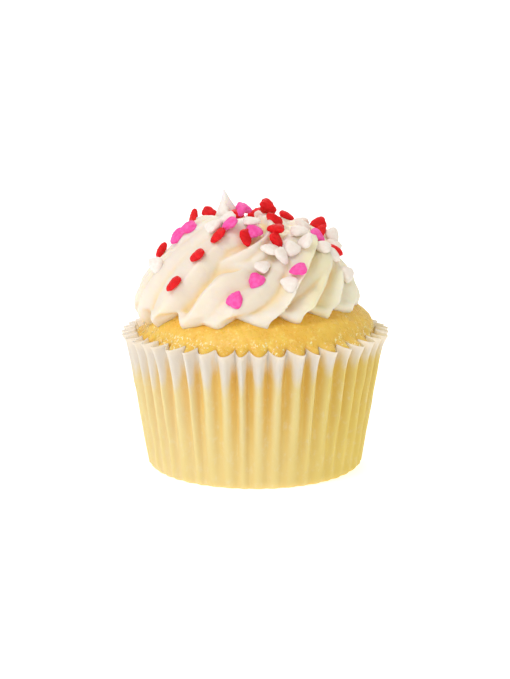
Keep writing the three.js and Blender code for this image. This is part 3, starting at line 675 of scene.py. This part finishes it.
def heart_mesh(rng):
    """A pressed-sugar heart: plump faces, round edges, no two alike."""
    outline = heart_outline(HEART_COLUMNS) * (rng.uniform(*HEART_SIZES), rng.uniform(*HEART_SIZES))
    outline[:, 0] += outline[:, 1] * rng.uniform(-HEART_SKEW, HEART_SKEW)
    level = np.column_stack([outline, 0 * outline[:, 0]])
    uneven = wave_noise(level, scale=2.0, seed=int(rng.integers(1e6)), octaves=2)
    outline += HEART_BUMPS[0] * uneven[:, None]
    thick = HEART_PLUMP * HEART_THICKNESS / 2 * rng.uniform(*HEART_THICKNESSES)
    rings = []
    for u in np.linspace(0, 180, HEART_RINGS + 2)[1:-1]:
        share = math.sin(math.radians(u)) ** HEART_EDGE[0]
        height = math.copysign(abs(math.cos(math.radians(u))) ** HEART_EDGE[1], 90 - u)
        rings.append(np.column_stack([outline * share, np.full(HEART_COLUMNS, height * thick)]))
    vertices, faces = closed_tube(np.array(rings)[:, ::-1], (0, 0, thick), (0, 0, -thick))
    dents = [wave_noise(vertices, scale=1.5, seed=int(rng.integers(1e6)), octaves=2) for _ in range(3)]
    return vertices + HEART_BUMPS[1] * np.stack(dents, -1), faces


def held(vertices, trees):
    """Whether enough of a heart lies inside what was there before it."""
    inside = 0
    for vertex in vertices:
        point = Vector(vertex)
        for tree in trees:
            surface, normal, _, _ = tree.find_nearest(point)
            if (point - surface).dot(normal) < 0:
                inside += 1
                break
    return inside > HEART_HOLD * len(vertices)


class Sprinkles:
    """The hearts stuck to the frosting, by colour."""

    def __init__(self, seats):
        self.frosting_tree = seats.tree
        self.rng = np.random.default_rng(SHAPE_SEED)
        self.parts = {"red": [], "pink": [], "white": []}
        self.there = []

    def stick(self, colour, point, way, step, rotation):
        """Adds a heart, lowered where it would only just touch what is there."""
        vertices, faces = heart_mesh(self.rng)
        vertices = vertices @ np.array(rotation.to_matrix()).T
        place = point + way * step
        near = [tree for middle, tree in self.there if (middle - place).length < HEART_NEAR * HEART_WIDTH]
        while not held(vertices[::HEART_HOLD_EVERY] + np.array(place), [self.frosting_tree] + near):
            place -= way * HEART_LOWERING
        placed = vertices + np.array(place)
        self.there.append((place, BVHTree.FromPolygons([Vector(v) for v in placed], faces)))
        self.parts[colour].append((placed, faces))


def make_hearts(frosting):
    """One piece for each colour of hearts."""
    seats = Seats(frosting)
    sprinkles = Sprinkles(seats)
    for colour, *how in HEARTS:
        sprinkles.stick(colour, *seen_heart(seats, *how))
    for number, heart in enumerate(hearts_behind(seats)):
        sprinkles.stick(BEHIND_COLOURS[number % len(BEHIND_COLOURS)], *heart)
    return {colour: joined(f"hearts_{colour}", parts) for colour, parts in sprinkles.parts.items()}


# ---------------- paper case


def pleat_samples():
    """Round the case: angle, place between two folds (0 to 1), and how deep and how high the pleat is."""
    rng = np.random.default_rng(PLEATS)
    fold = np.arange(PLEATS + 1) + np.append(rng.uniform(*FOLD_UNEVEN, PLEATS), 0)
    fold[-1] = PLEATS + fold[0]
    deep = 1 + rng.uniform(*DEPTH_UNEVEN, PLEATS)
    tall = rng.uniform(*RIM_UNEVEN, PLEATS)
    pleat = np.repeat(np.arange(PLEATS), PLEAT_SAMPLES)
    share = np.tile(np.arange(PLEAT_SAMPLES) / PLEAT_SAMPLES, PLEATS)
    turn = fold[pleat] + (fold[pleat + 1] - fold[pleat]) * share
    return np.radians(PLEAT_TURN + turn * 360 / PLEATS), share, deep[pleat], tall[pleat]


def wall_radius(z, angle, share, deep):
    """Radius of the paper's outer face at heights z, for the samples round the case."""
    up = z / CASE_HEIGHT
    flare = CASE_FLARE * ramp(z, CASE_HEIGHT - CASE_FLARE_HEIGHT, CASE_FLARE_HEIGHT) ** 2
    foot = CASE_FOOT_INSET * (1 - ramp(z, 0, CASE_FOOT_HEIGHT)) ** CASE_FOOT_POWER
    middle = CASE_BASE_RADIUS + (CASE_RIM_RADIUS - CASE_BASE_RADIUS) * up + flare - foot
    depth = (PLEAT_DEPTH_BASE + (PLEAT_DEPTH_RIM - PLEAT_DEPTH_BASE) * up ** PLEAT_GROWTH) * deep
    opening = eased(ramp(up, PLEAT_OPENS_AT, PLEAT_OPENING))
    power = CREST_NARROW + (CREST_WIDE - CREST_NARROW) * opening
    radius = middle + depth * (2 * np.sin(math.pi * share) ** power - PLEAT_INWARDS)
    x, y = ROUGH_RADIUS * np.sin(angle), ROUGH_RADIUS * np.cos(angle)
    places = np.stack([x + 0 * z, y + 0 * z, z + 0 * angle], -1)
    wobble = wave_noise(places.reshape(-1, 3), scale=11, seed=5, octaves=3).reshape(radius.shape)
    return radius + CASE_WOBBLE * wobble * ramp(z, 0, WOBBLE_START)


def round_the_axis(radius, angle, z):
    """Rings of points (rows, columns, 3) from radii and heights."""
    return np.stack([radius * np.sin(angle), -radius * np.cos(angle), z + 0 * radius], -1)


def make_case():
    """The wall outside and inside, from the middle of the ground to the middle of the case's floor."""
    angle, share, deep, tall = pleat_samples()
    foot = [0.0, 0.25, 0.9, 2.0]
    wall = np.linspace(3.5, CASE_HEIGHT - CASE_FLARE_HEIGHT, 16)
    rim = np.linspace(CASE_HEIGHT - CASE_FLARE_HEIGHT + 1, CASE_HEIGHT, 12)
    heights = np.concatenate([foot, wall, rim])[:, None]
    radius = wall_radius(heights, angle, share, deep)
    at_rim = ramp(heights, CASE_HEIGHT - RIM_REACH, RIM_REACH)
    dip = RIM_DIP * np.sin(math.pi * share) ** RIM_DIP_POWER
    z = np.minimum(heights + (tall - dip) * at_rim, CASE_HEIGHT)
    outer = round_the_axis(radius, angle, z)
    inner = round_the_axis(radius - CASE_THICKNESS, angle, np.maximum(z, CASE_FLOOR))
    vertices, faces = closed_tube(np.concatenate([outer, inner[::-1]]), (0, 0, 0), (0, 0, CASE_FLOOR))
    obj = mesh_object("paper_case_pleated", vertices, faces)
    crests = np.tile(np.sin(math.pi * share), 2 * len(heights))
    vertex_values(obj.data, "fold", np.append(crests, [0.5, 0.5]))
    vertex_values(obj.data, "inside", np.append(np.repeat([0.0, 1.0], radius.size), [0.0, 1.0]))
    return obj


# ---------------- sponge


def make_cake():
    """A dome that runs out into the pockets of the pleats, further in on the left."""
    angle, share, deep, _ = pleat_samples()
    rows = [(z, r + 0 * angle) for z, r in CAKE_SIDE]
    in_front = ramp(np.cos(angle), *IN_FRONT)
    for z, plain, front, elsewhere in CAKE_SHOULDER:
        pocket = wall_radius(np.full((1, 1), z), angle, share, deep)[0] - CASE_THICKNESS - CAKE_GAP
        filled = elsewhere + (front - elsewhere) * in_front
        rows.append((z, np.minimum(plain + (pocket - plain) * filled, pocket)))
    dome_rise = CAKE_DOME_HEIGHT - CAKE_EDGE_HEIGHT
    for r in CAKE_EDGE_RADIUS * np.sin(np.linspace(math.pi / 2, 0.02, CAKE_DOME_ROWS)):
        z = CAKE_EDGE_HEIGHT + dome_rise * math.sqrt(1 - (r / (CAKE_EDGE_RADIUS + CAKE_ROUNDING)) ** 2)
        rows.append((z, r + 0 * angle))
    rings = np.array([round_the_axis(radius, angle, z) for z, radius in rows])
    vertices, faces = closed_tube(rings, (0, 0, CAKE_FLOOR), (0, 0, CAKE_DOME_HEIGHT))
    x, z = vertices[:, 0], vertices[:, 2]
    drawn_in = LEFT_DRAWN_IN * eased(ramp(-x, *ON_LEFT)) * ramp(z, *SHOULDER)
    # an uneven crust, only where the sponge shows
    broad = 0.16 * wave_noise(vertices, scale=9.0, seed=31, octaves=2)
    fine = 0.07 * wave_noise(vertices, scale=2.2, seed=32, octaves=3)
    crust = (broad + fine - CRUST_SUNK) * ramp(z, *CRUST)
    outward = vertices * (1, 1, 0) / ROUGH_RADIUS + (0, 0, CRUST_UP)
    vertices = vertices + outward * crust[:, None] + drawn_in[:, None] * (1, 0, 0)
    return mesh_object("cake_sponge", vertices, faces)


# ---------------- materials


class Nodes:
    """The node tree of a material or of the world, written as calls that each give an output."""

    # the Mix node's sockets for colours
    MIX_A, MIX_B, MIX_RESULT = 6, 7, 2

    def __init__(self, name, blocks=bpy.data.materials, shader="Principled BSDF"):
        self.owner = blocks.new(name)
        self.owner.use_nodes = True
        self.tree = self.owner.node_tree
        self.shader = self.tree.nodes[shader]
        self.coordinates = self.add("ShaderNodeTexCoord", {})

    def feed(self, node, inputs):
        """Links or sets a node's inputs, given by name or number; a colour needs no alpha."""
        for key, value in inputs.items():
            socket = node.inputs[key]
            if isinstance(value, bpy.types.NodeSocket):
                self.tree.links.new(value, socket)
            else:
                socket.default_value = (*value, 1.0) if socket.type == "RGBA" else value

    def add(self, kind, inputs, **settings):
        """The outputs of a new node."""
        node = self.tree.nodes.new(kind)
        for key, value in settings.items():
            setattr(node, key, value)
        self.feed(node, inputs)
        return node.outputs

    def attribute(self, name):
        """The numbers that a mesh has for its vertices."""
        return self.add("ShaderNodeAttribute", {}, attribute_name=name)["Fac"]

    def noise(self, size, detail, roughness=0.55, squash=None):
        """Noise from 0 to 1, its features of a size in millimetres that squash divides along each axis."""
        vector = self.coordinates["Object"]
        if squash:
            vector = self.add("ShaderNodeMapping", {"Vector": vector, "Scale": squash})["Vector"]
        inputs = {"Vector": vector, "Scale": 1 / (size * MM), "Detail": detail, "Roughness": roughness}
        return self.add("ShaderNodeTexNoise", inputs)["Fac"]

    def pits(self, size):
        """Distance from points scattered a size in millimetres apart, as a share of that size."""
        inputs = {"Vector": self.coordinates["Object"], "Scale": 1 / (size * MM)}
        return self.add("ShaderNodeTexVoronoi", inputs, feature="F1")["Distance"]

    def math(self, operation, a, b):
        """Each of the two is a number or an output."""
        return self.add("ShaderNodeMath", {0: a, 1: b}, operation=operation)["Value"]

    def remap(self, value, low, high, out_low=0.0, out_high=1.0, smooth=True):
        """A value's range brought to another range, gently at its ends unless smooth is off."""
        inputs = {"Value": value, "From Min": low, "From Max": high, "To Min": out_low, "To Max": out_high}
        kind = "SMOOTHSTEP" if smooth else "LINEAR"
        return self.add("ShaderNodeMapRange", inputs, interpolation_type=kind)["Result"]

    def mix(self, factor, a, b):
        """Colour between a and b; each is a colour or an output."""
        inputs = {"Factor": factor, self.MIX_A: a, self.MIX_B: b}
        return self.add("ShaderNodeMix", inputs, data_type="RGBA")[self.MIX_RESULT]

    def along(self, axis, coordinates):
        """One axis of the coordinates of that name."""
        return self.add("ShaderNodeSeparateXYZ", {"Vector": self.coordinates[coordinates]})[axis]

    def place(self, axis):
        """How far along an axis, in millimetres."""
        return self.math("DIVIDE", self.along(axis, "Object"), MM)

    def faces_up(self):
        """How far the surface faces up: 1 on a level top, -1 on an underside."""
        return self.along("Z", "Normal")

    def bump(self, height, distance, strength, before=None):
        """Relief of a height from 0 to 1 times a distance in millimetres, on top of the relief before."""
        inputs = {"Height": height, "Distance": distance * MM, "Strength": strength}
        if before is not None:
            inputs["Normal"] = before
        return self.add("ShaderNodeBump", inputs)["Normal"]

    def set(self, **values):
        """Links or sets the shader's inputs, _ standing for a space, and returns what it belongs to."""
        self.feed(self.shader, {key.replace("_", " "): value for key, value in values.items()})
        return self.owner


def frosting_material():
    """Ivory buttercream with a satin sheen; painted golden light in its grooves, painted shade on its right.
    """
    n = Nodes("buttercream")
    ivory, cream = (0.86, 0.777, 0.66), (0.87, 0.79, 0.695)
    colour = n.mix(n.remap(n.noise(9, 2), 0.35, 0.7), ivory, cream)
    # painted golden shade on the right, away from the key light, that fades again towards the edge
    shaded, painted_fill_light_edge, peak_top_white = (0.85, 0.81, 0.50), (0.89, 0.88, 0.72), (0.89, 0.83, 0.82)
    side = n.place("X")
    shade = n.math("SUBTRACT", n.remap(side, 9.0, 14.5, 0.0, 0.55), n.remap(side, 16.0, 21.0, 0.0, 0.45))
    colour = n.mix(shade, colour, shaded)
    # painted light from the golden fill on the right edge
    colour = n.mix(n.remap(side, 16.5, 22.0, 0.0, 0.6), colour, painted_fill_light_edge)
    # whiter towards the top of the peak
    colour = n.mix(n.remap(n.place("Z"), 60.0, 64.0), colour, peak_top_white)
    # painted golden light in the hollows, standing for light that has gone through the cream
    painted_hollow_light, painted_underside_light = (0.93, 0.745, 0.43), (0.96, 0.72, 0.38)
    colour = n.mix(n.remap(n.attribute("hollow"), -0.05, 0.65), colour, painted_hollow_light)
    # painted golden light from the sponge on the undersides
    colour = n.mix(n.remap(n.faces_up(), -0.4, -0.95, 0.0, 0.6), colour, painted_underside_light)
    fine = n.noise(0.55, 4, 0.6)
    normal = n.bump(n.noise(2.6, 3), 0.35, 0.35)
    normal = n.bump(fine, 0.10, 0.5, normal)
    return n.set(
        Base_Color=colour, Roughness=n.remap(fine, 0.3, 0.7, 0.34, 0.50), Normal=normal,
        Subsurface_Weight=0.7, Subsurface_Radius=(1.0, 0.78, 0.45), Subsurface_Scale=3.0 * MM,
        Specular_IOR_Level=0.45,
    )


def heart_material(name, light, deep, scatter):
    """Pressed sugar: a matt, slightly grainy surface in two tones."""
    n = Nodes(name)
    tone = n.remap(n.noise(1.1, 3), 0.35, 0.68)
    grain = n.noise(0.28, 3, 0.6)
    return n.set(
        Base_Color=n.mix(tone, deep, light), Roughness=n.remap(grain, 0.3, 0.7, 0.5, 0.72),
        Normal=n.bump(grain, 0.07, 0.7),
        Subsurface_Weight=0.2, Subsurface_Radius=scatter, Subsurface_Scale=0.6 * MM,
        Specular_IOR_Level=0.25,
    )


def cake_material():
    """Moist golden sponge with fine pores, and painted glints near the rim."""
    n = Nodes("sponge")
    z = n.place("Z")
    deep_gold, gold = (0.86, 0.50, 0.065), (0.91, 0.605, 0.10)
    colour = n.mix(n.remap(n.noise(5.5, 4, 0.6), 0.32, 0.68), deep_gold, gold)
    # painted shade on the right side, and a painted shadow under the frosting
    shaded, painted_frosting_shadow, pore = (0.76, 0.52, 0.08), (0.88, 0.50, 0.05), (0.96, 0.74, 0.24)
    colour = n.mix(n.remap(n.place("X"), 2.0, 26.0, 0.0, 0.5), colour, shaded)
    colour = n.mix(n.remap(z, 36.5, 40.5, 0.0, 0.7), colour, painted_frosting_shadow)
    colour = n.mix(n.remap(n.noise(1.3, 3, 0.65), 0.56, 0.74), colour, pore)
    # painted glints in patches, most of them near the rim
    painted_glint, in_the_case = (0.99, 0.87, 0.53), (0.92, 0.60, 0.14)
    away = n.remap(z, 34.6, 37.0, 0.0, 0.12)
    glint_patch = n.remap(n.noise(7.0, 1), 0.42, 0.62, -0.02, 0.05)
    speck = n.math("ADD", n.noise(0.7, 2, 0.5, (1.5, 1.0, 0.9)), glint_patch)
    glint = n.remap(n.math("SUBTRACT", speck, away), 0.62, 0.70)
    colour = n.mix(glint, colour, painted_glint)
    colour = n.mix(n.remap(z, 30.0, 33.0), in_the_case, colour)
    normal = n.bump(n.remap(n.pits(1.5), 0.06, 0.24), 0.18, 0.35)
    normal = n.bump(n.noise(0.9, 4, 0.65), 0.22, 0.6, normal)
    return n.set(
        Base_Color=colour, Roughness=n.remap(n.noise(1.0, 3, 0.6), 0.45, 0.62, 0.52, 0.2), Normal=normal,
        Subsurface_Weight=0.3, Subsurface_Radius=(1.0, 0.55, 0.15), Subsurface_Scale=2.0 * MM,
        Specular_IOR_Level=0.5,
    )


def soaked_paper(n, z, side, crest):
    """Colour of the paper where the sponge has soaked it: amber in the folds, pale on the crests."""
    amber_low, amber_high, lit_amber_left = (0.93, 0.66, 0.23), (0.93, 0.585, 0.14), (0.95, 0.71, 0.33)
    pale_low, pale_high = (0.94, 0.70, 0.26), (0.95, 0.745, 0.32)
    shaded, spot, stain = (0.88, 0.62, 0.11), (0.96, 0.79, 0.46), (0.88, 0.56, 0.16)
    amber = n.mix(n.remap(z, 3.0, 26.0), amber_low, amber_high)
    pale = n.mix(n.remap(z, 4.0, 22.0), pale_low, pale_high)
    # painted light: the folds are paler on the left, where the key light falls
    amber = n.mix(n.remap(side, -25.0, -4.0, 0.75, 0.0), amber, lit_amber_left)
    gold = n.mix(crest, amber, pale)
    # painted shade on the right side
    gold = n.mix(n.remap(side, 0.0, 25.0, 0.0, 0.8), gold, shaded)
    spots = n.remap(n.noise(1.6, 4, 0.7, (1.0, 1.0, 0.6)), 0.5, 0.72)
    gold = n.mix(n.math("MULTIPLY", spots, 0.35), gold, spot)
    stains = n.remap(n.noise(2.2, 4, 0.7, (1.0, 1.0, 0.4)), 0.55, 0.78)
    return n.mix(n.math("MULTIPLY", stains, 0.25), gold, stain)


def dry_paper(n, side, crest):
    """Colour of the dry rim: inside, painted white on the left as light from behind, painted golden shade on
    the right.
    """
    lightened_fold, on_crest = (0.945, 0.855, 0.72), (0.88, 0.77, 0.61)
    lit_inside_left, shaded_inside_right = (0.97, 0.94, 0.92), (0.77, 0.67, 0.45)
    inside = n.attribute("inside")
    # the folds are painted lighter than the crests, against the shade in their narrow creases
    dry = n.mix(crest, lightened_fold, on_crest)
    # painted light on the inner wall at the left
    dry = n.mix(n.math("MULTIPLY", inside, n.remap(side, -22.0, 0.0, 1.0, 0.0)), dry, lit_inside_left)
    # painted shade on the inner wall at the right
    return n.mix(n.math("MULTIPLY", inside, n.remap(side, 5.0, 24.0)), dry, shaded_inside_right)


def paper_material():
    """Thin greaseproof paper, white at the rim and golden where the sponge shows through."""
    n = Nodes("baking_paper")
    z = n.place("Z")
    side = n.place("X")
    crest = n.remap(n.attribute("fold"), 0.45, 0.97)
    # the paper is soaked up to a ragged line, lower on the crests and on the left
    ragged = n.noise(3.2, 4, 0.6, (1.0, 1.0, 0.45))
    drop = n.math("MULTIPLY", crest, n.remap(side, 0.0, 24.0, -5.0, -2.5))
    line = n.math("ADD", drop, n.remap(side, -26.0, 26.0, 29.6, 32.2, smooth=False))
    line = n.math("ADD", line, n.math("MULTIPLY", n.math("SUBTRACT", ragged, 0.5), 6.0))
    soaked = n.remap(n.math("SUBTRACT", line, z), -2.0, 3.5)
    colour = n.mix(soaked, dry_paper(n, side, crest), soaked_paper(n, z, side, crest))
    fibre = n.noise(0.35, 4, 0.6, (1.0, 1.0, 0.25))
    normal = n.bump(fibre, 0.05, 0.5)
    normal = n.bump(n.noise(2.4, 3), 0.25, 0.35, normal)
    return n.set(
        Base_Color=colour, Roughness=n.remap(fibre, 0.3, 0.7, 0.5, 0.68), Normal=normal,
        Subsurface_Weight=0.35, Subsurface_Radius=(1.0, 0.8, 0.5), Subsurface_Scale=1.2 * MM,
        Specular_IOR_Level=0.35,
    )


def floor_material():
    """A pale table that glows a little."""
    n = Nodes("pale_floor")
    return n.set(
        Base_Color=n.mix(n.noise(60, 2), (0.74, 0.74, 0.75), (0.78, 0.78, 0.79)), Roughness=0.7,
        Emission_Color=(0.95, 0.97, 1.0), Emission_Strength=FLOOR_GLOW,
    )


def dress(obj, material):
    """Gives an object its one material."""
    obj.data.materials.clear()
    obj.data.materials.append(material)


# ---------------- the cupcake

frosting = make_frosting()
hearts = make_hearts(frosting)
cake = make_cake()
case = make_case()

dress(frosting, frosting_material())
dress(cake, cake_material())
dress(case, paper_material())
for colour, light, deep, scatter in (
    ("red", (0.87, 0.008, 0.013), (0.69, 0.003, 0.007), (1.0, 0.1, 0.1)),
    ("pink", (0.95, 0.14, 0.50), (0.92, 0.075, 0.38), (1.0, 0.25, 0.5)),
    ("white", (0.93, 0.87, 0.82), (0.90, 0.81, 0.75), (1.0, 0.8, 0.7)),
):
    dress(hearts[colour], heart_material(f"sugar_{colour}", light, deep, scatter))

for piece, node, slot in (
    (frosting, "frosting", "frosting"),
    (cake, "cake", "cake"),
    (case, "paper_case", "paper_case"),
    (hearts["red"], "frosting", "sprinkle_red"),
    (hearts["pink"], "frosting", "sprinkle_pink"),
    (hearts["white"], "frosting", "sprinkle_white"),
):
    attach(piece, "root")
    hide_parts(node)

# ---------------- studio

corners = [(x * FLOOR_REACH, y * FLOOR_REACH, 0) for x, y in ((-1, -1), (1, -1), (1, 1), (-1, 1))]
floor = mesh_object("studio_floor", corners, [(0, 1, 2, 3)])
dress(floor, floor_material())
floor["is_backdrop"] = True


def aimed(obj, place):
    """Puts a lamp or camera at a place and turns it towards the cupcake."""
    obj.location = Vector(place) * MM
    obj.rotation_mode = "QUATERNION"
    obj.rotation_quaternion = (Vector(AIM) * MM - obj.location).to_track_quat("-Z", "Y")


def soft_light(name, place, size, watts, colour):
    """A round lamp."""
    data = bpy.data.lights.new(name, "AREA")
    data.shape = "DISK"
    data.size = size * MM
    data.energy = watts
    data.color = colour
    aimed(in_scene(name, data), place)


def fill_light():
    """Soft light from all round, turning golden towards the right."""
    n = Nodes("studio", bpy.data.worlds, "Background")
    to_the_right = n.remap(n.along("X", "Generated"), *FILL_FADE)
    bpy.context.scene.world = n.set(Color=n.mix(to_the_right, FILL_LEFT, FILL_RIGHT), Strength=FILL)


def front_camera():
    """A camera whose picture shows PIXELS_PER_MM at the cupcake's axis."""
    data = bpy.data.cameras.new("camera")
    data.sensor_fit = "VERTICAL"
    data.sensor_height = SENSOR_HEIGHT
    data.lens = SENSOR_HEIGHT * PIXELS_PER_MM * CAMERA_DISTANCE / IMAGE_HEIGHT
    data.clip_start = CAMERA_CLIP * MM
    camera = in_scene("camera", data)
    elevation = math.radians(CAMERA_ELEVATION)
    backwards = Vector((0, -math.cos(elevation), math.sin(elevation)))
    aimed(camera, Vector(AIM) + backwards * CAMERA_DISTANCE)
    return camera


soft_light("key", place=(-300, -330, 600), size=300, watts=1.8, colour=(1.0, 0.98, 0.98))
soft_light("rim", place=(60, 480, 420), size=320, watts=0.8, colour=(1.0, 1.0, 1.0))
fill_light()
bpy.context.scene.camera = front_camera()
bpy.context.scene.view_settings.view_transform = "Standard"
bpy.context.scene.view_settings.look = "None"

boxes = {"cad": cad_box, "visual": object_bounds()}
{name: [list(map(float, corner)) for corner in box] for name, box in boxes.items()}
